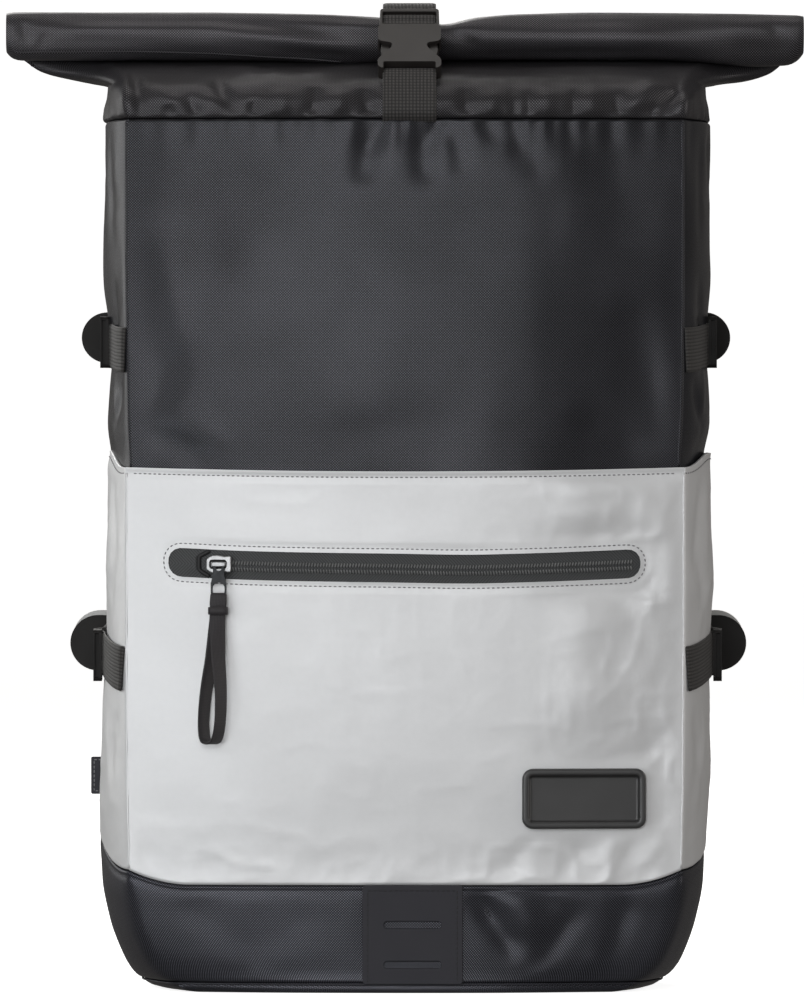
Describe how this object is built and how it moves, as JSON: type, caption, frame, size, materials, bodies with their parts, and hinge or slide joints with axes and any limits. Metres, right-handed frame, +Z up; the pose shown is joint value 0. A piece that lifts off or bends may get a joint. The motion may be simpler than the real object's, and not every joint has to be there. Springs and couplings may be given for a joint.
{
  "type": "laptop backpack",
  "caption": "Roll-top laptop backpack: hollow cloth body under a wide rolled collar, pale zip pocket panel, side compression straps, dark base and padded shoulder straps.",
  "frame": {"origin": "under the middle of the flat base, on the surface it stands on", "axes": "+Z up, +X to the right of someone facing the front, the front faces -Y and the wearer's back is at +Y"},
  "size_m": [0.3758, 0.1974, 0.4619],
  "materials": {
    "ballistic_nylon": "coarse woven nylon with a faint sheen",
    "collar_cloth": "close woven coated nylon",
    "pale_coated_cloth": "smooth silver coated cloth",
    "webbing": "ribbed woven webbing",
    "moulded_plastic": "fine moulded grain",
    "smooth_rubber": "smooth with a soft sheen",
    "zip_cloth": "twill tape and coil",
    "zip_metal": "bright cast metal",
    "padded_cloth": "plain padded cloth"
  },
  "bodies": {
    "root": {"front_panel": "ballistic_nylon", "side_panel_left": "ballistic_nylon", "side_panel_right": "ballistic_nylon", "base_wall": "ballistic_nylon", "bottom_panel": "ballistic_nylon", "collar": "collar_cloth", "roll_top": "collar_cloth", "pocket_front": "pale_coated_cloth", "side_pocket_left": "pale_coated_cloth", "side_pocket_right": "pale_coated_cloth", "roll_strap": "webbing", "buckle_strap": "webbing", "pull_loop": "webbing", "loop_keeper": "webbing", "side_label": "webbing", "strap_tail_left": "webbing", "strap_tail_right": "webbing", "buckle_socket": "moulded_plastic", "buckle_plug": "moulded_plastic", "pull_tab": "moulded_plastic", "badge": "smooth_rubber", "base_patch": "smooth_rubber", "zip_tape": "zip_cloth", "zip_chain": "zip_cloth", "zip_garage": "zip_cloth", "zip_slider": "zip_metal", "back_panel": "padded_cloth", "shoulder_pad_left": "padded_cloth", "shoulder_pad_right": "padded_cloth", "side_strap_left_upper": "webbing", "side_adjuster_left_upper": "moulded_plastic", "strap_wing_left_upper": "ballistic_nylon", "side_strap_left_lower": "webbing", "side_adjuster_left_lower": "moulded_plastic", "strap_wing_left_lower": "ballistic_nylon", "side_strap_right_upper": "webbing", "side_adjuster_right_upper": "moulded_plastic", "strap_wing_right_upper": "ballistic_nylon", "side_strap_right_lower": "webbing", "side_adjuster_right_lower": "moulded_plastic", "strap_wing_right_lower": "ballistic_nylon"}
  },
  "joints": []
}
